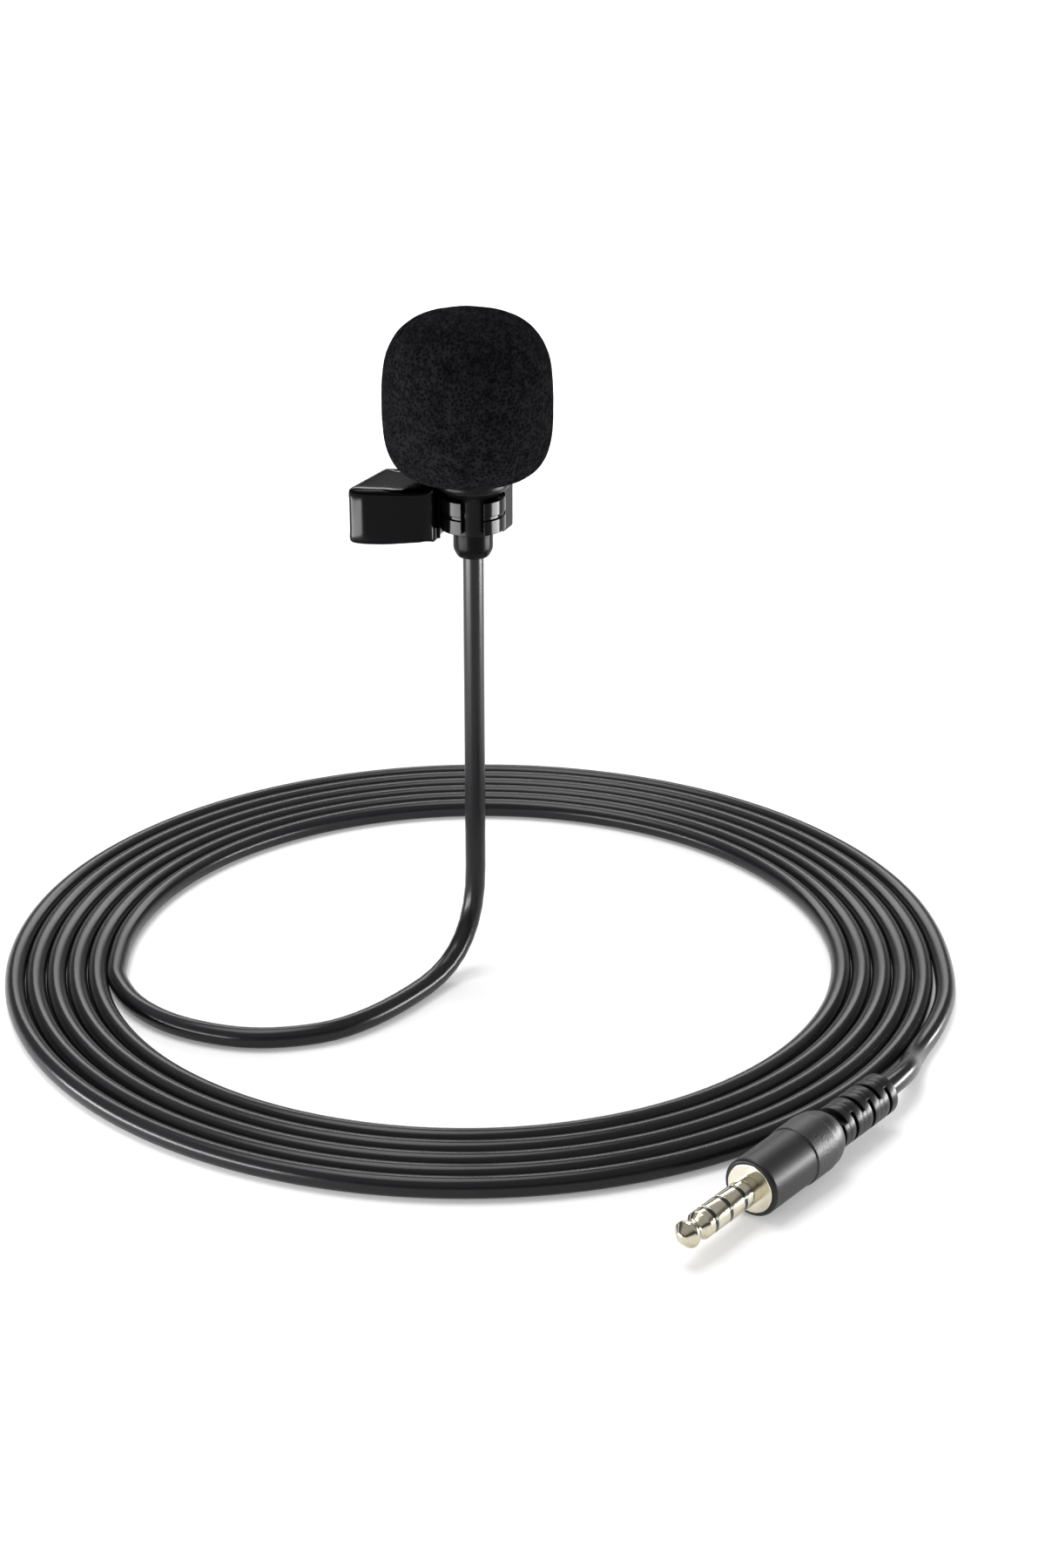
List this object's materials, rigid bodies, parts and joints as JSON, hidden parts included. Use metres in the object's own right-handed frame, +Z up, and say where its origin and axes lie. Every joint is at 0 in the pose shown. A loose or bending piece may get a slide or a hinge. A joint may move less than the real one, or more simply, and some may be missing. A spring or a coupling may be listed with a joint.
{
  "type": "lavalier microphone",
  "caption": "Clip-on lavalier microphone with foam windscreen, snap-ring garment clip, coiled cord and 3.5 mm four-contact plug.",
  "frame": {"origin": "middle of the clip's grip, where the garment is held between the toothed pads", "axes": "+X out of the jaws' mouth, +Y from the microphone to the wearer's side of the garment, +Z up along the microphone"},
  "size_m": [0.1314, 0.1442, 0.0923],
  "materials": {
    "board": "satin",
    "boot_rubber": "matte",
    "brass_parts": "satin",
    "capsule_metal": "satin",
    "chip": "satin",
    "clip_plastic": "gloss",
    "cord_jacket": "satin",
    "felt": "matte",
    "film": "gloss",
    "foam": "matte",
    "gold_plate": "polished",
    "grip_rubber": "matte",
    "housing_black": "satin",
    "insulator": "matte",
    "jack_insulator": "gloss",
    "pin_steel": "brushed",
    "plug_moulding": "satin",
    "relief_rubber": "matte",
    "ring_black": "gloss",
    "spring_steel": "brushed",
    "wire_jacket": "satin"
  },
  "bodies": {
    "clip": {"front_grip_pad": "grip_rubber", "front_jaw": "clip_plastic", "hinge_pin": "pin_steel", "ring_rivet": "pin_steel", "snap_ring": "ring_black", "torsion_spring": "spring_steel"},
    "rear_lever": {"rear_grip_pad": "grip_rubber", "rear_jaw": "clip_plastic"},
    "microphone": {"backplate": "brass_parts", "capsule_boot": "boot_rubber", "capsule_can": "capsule_metal", "contact_ring": "brass_parts", "cord_coil": "cord_jacket", "cord_ferrule": "brass_parts", "diaphragm": "film", "diaphragm_ring": "brass_parts", "diaphragm_spacer": "insulator", "fet_board": "board", "fet_chip": "chip", "grille_cap": "housing_black", "grille_felt": "felt", "insulating_collar": "insulator", "mic_housing": "housing_black", "mic_jacket_end": "cord_jacket", "mic_lead": "cord_jacket", "mic_strain_relief": "relief_rubber", "plug_core_sleeve": "insulator", "plug_flange": "gold_plate", "plug_insulator_1": "jack_insulator", "plug_insulator_2": "jack_insulator", "plug_insulator_3": "jack_insulator", "plug_jacket_end": "cord_jacket", "plug_lead": "cord_jacket", "plug_ring_1": "gold_plate", "plug_ring_2": "gold_plate", "plug_shell": "plug_moulding", "plug_sleeve": "gold_plate", "plug_strain_relief": "relief_rubber", "plug_tip": "gold_plate", "plug_wire_1": "wire_jacket", "plug_wire_2": "wire_jacket", "plug_wire_3": "wire_jacket", "plug_wire_4": "wire_jacket", "shield_wire": "wire_jacket", "signal_wire": "wire_jacket"},
    "windscreen": {"foam_windscreen": "foam"}
  },
  "joints": [
    {"name": "jaw_hinge", "type": "hinge", "parent": "clip", "child": "rear_lever", "pos_m": [-0.0102, 0, 0], "axis": [0, 0, 1], "range_deg": [0, 30], "stiffness_Nm_per_rad": 0.02, "springref_deg": -22.92, "deforming": ["torsion_spring"]},
    {"name": "ring_turn", "type": "hinge", "parent": "clip", "child": "microphone", "pos_m": [-0.0032, -0.0069, 0], "axis": [0, 0, 1], "range_deg": [-180, 180]},
    {"name": "windscreen_slide", "type": "slide", "parent": "microphone", "child": "windscreen", "axis": [0, 0, 1], "range_m": [0, 0.03]}
  ]
}
